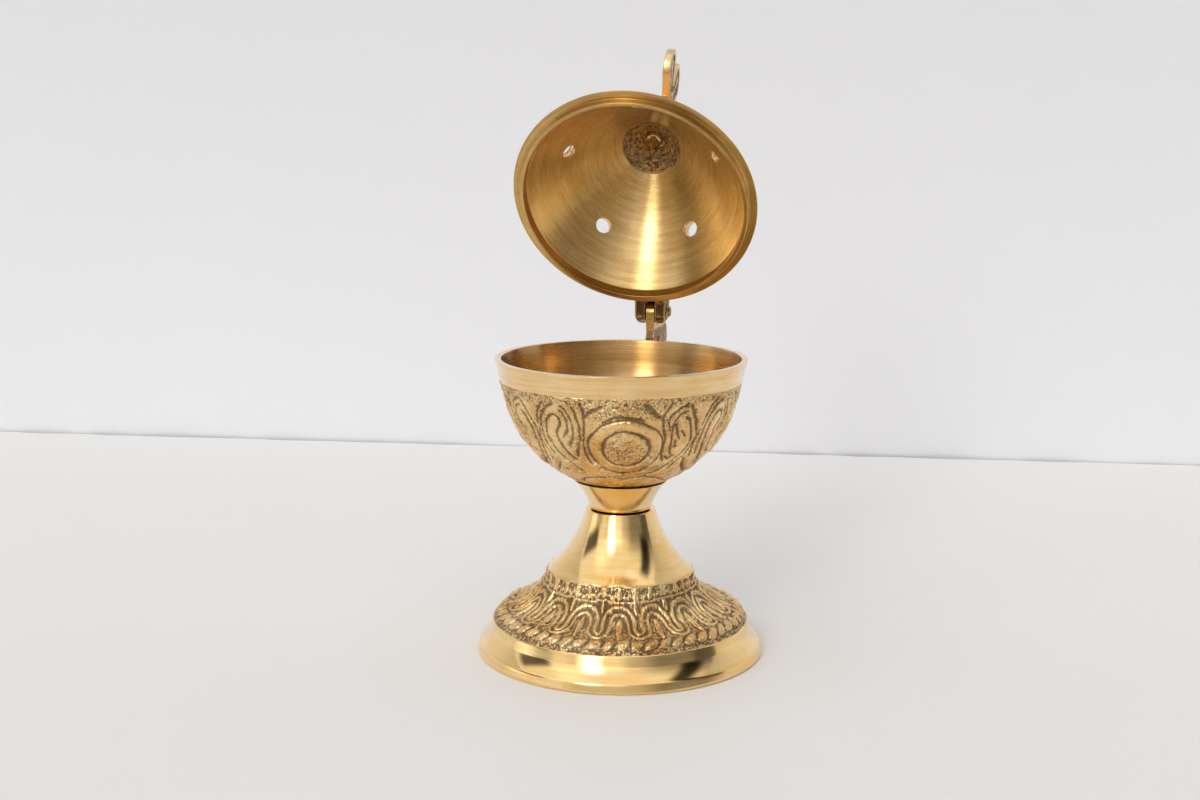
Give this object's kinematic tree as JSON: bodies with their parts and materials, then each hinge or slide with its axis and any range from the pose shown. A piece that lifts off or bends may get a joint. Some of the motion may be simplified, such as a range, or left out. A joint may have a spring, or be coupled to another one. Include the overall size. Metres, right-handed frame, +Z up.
{
  "type": "standing censer",
  "caption": "Standing incense burner in cast and turned brass: stepped foot, spool neck, open bowl and a vented conical lid with a cross finial, hinged at the back and shown open.",
  "frame": {"origin": "on the ground, under the middle of the open censer's box; the foot's own axis is 18.85 mm in front of it", "axes": "+Z up along the foot's, neck's and bowl's common axis; +Y towards the back, where the lid's hinge is; +X to the right as seen from the front"},
  "size_m": [0.075, 0.1128, 0.1569],
  "materials": {
    "polished_brass": "turned and polished",
    "cast_brass": "cast relief with dark patina in the recesses, inside turned and brushed",
    "dark_brass": "as cast, dark brown, worn bright on the edges",
    "fastener_brass": "plain machined"
  },
  "bodies": {
    "base": {"foot": "polished_brass", "neck": "polished_brass", "bowl": "cast_brass", "bowl_hinge_bracket": "dark_brass", "bracket_rivet_upper": "dark_brass", "bracket_rivet_lower": "dark_brass", "stem_bolt": "fastener_brass", "stem_washer": "fastener_brass", "stem_nut": "fastener_brass"},
    "cover": {"lid": "cast_brass", "lid_hinge_fork": "dark_brass", "hinge_pin": "dark_brass", "finial_cross": "cast_brass"}
  },
  "joints": [
    {"name": "lid_hinge", "type": "hinge", "parent": "base", "child": "cover", "pos_m": [0, 0.02168, 0.08445], "axis": [1, 0, 0], "range_deg": [-35, 60.5]}
  ]
}
